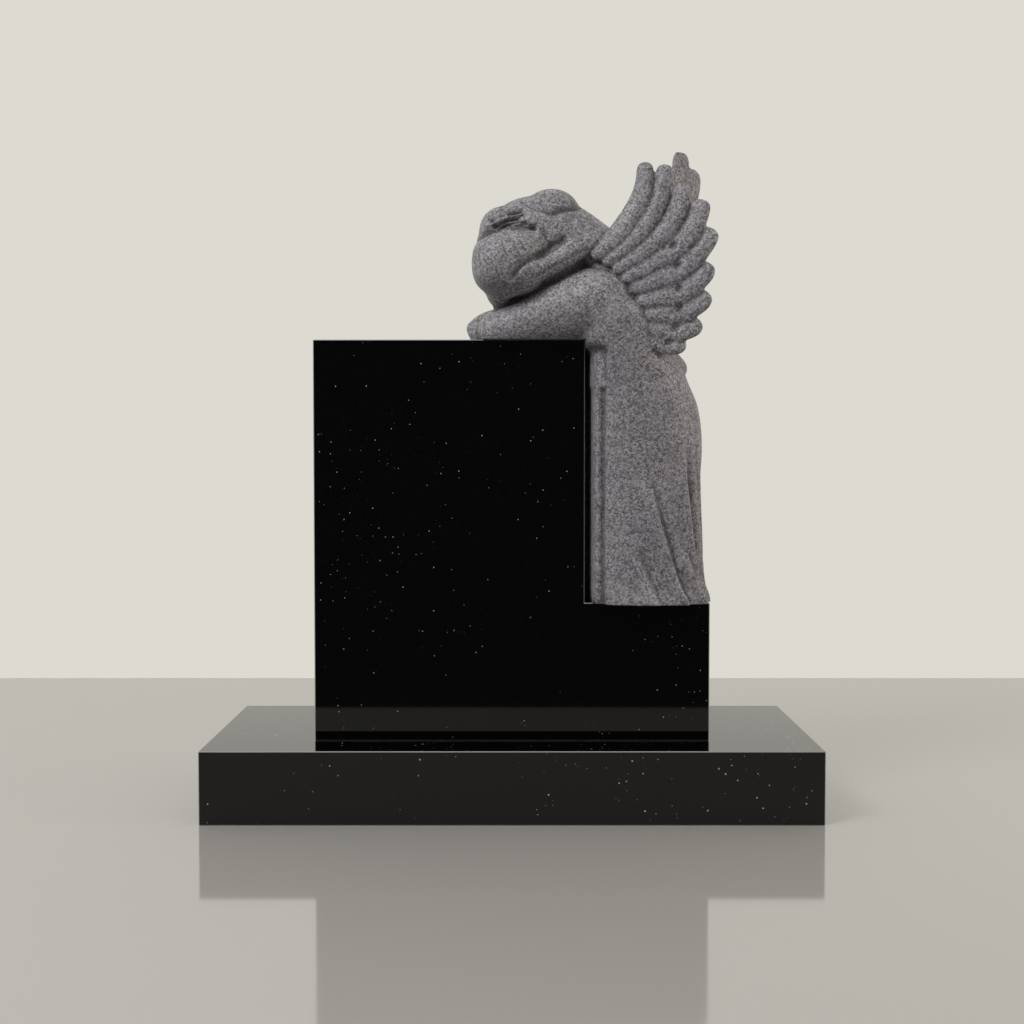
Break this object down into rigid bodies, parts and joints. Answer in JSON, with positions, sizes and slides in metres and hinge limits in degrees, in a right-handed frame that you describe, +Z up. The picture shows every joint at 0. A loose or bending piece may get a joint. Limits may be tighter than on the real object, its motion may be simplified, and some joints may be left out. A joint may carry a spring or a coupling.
{
  "type": "angel headstone",
  "caption": "Upright granite headstone on a slab base, with a robed angel leaning over the tablet's top, its head on folded arms.",
  "frame": {"origin": "middle of the base's underside, which is the middle of the whole object's bounding box at its foot", "axes": "+X runs along the tablet towards the angel, +Y from the polished face with the back of the angel's head through the tablet to the side that the angel faces, +Z up"},
  "size_m": [0.914, 0.381, 1.0244],
  "materials": {
    "black_granite": "mirror polished black granite with sparse gold and pale flecks",
    "grey_granite": "finely honed salt-and-pepper grey granite"
  },
  "bodies": {
    "root": {"base": "black_granite", "tablet": "black_granite", "angel": "grey_granite"}
  },
  "joints": []
}
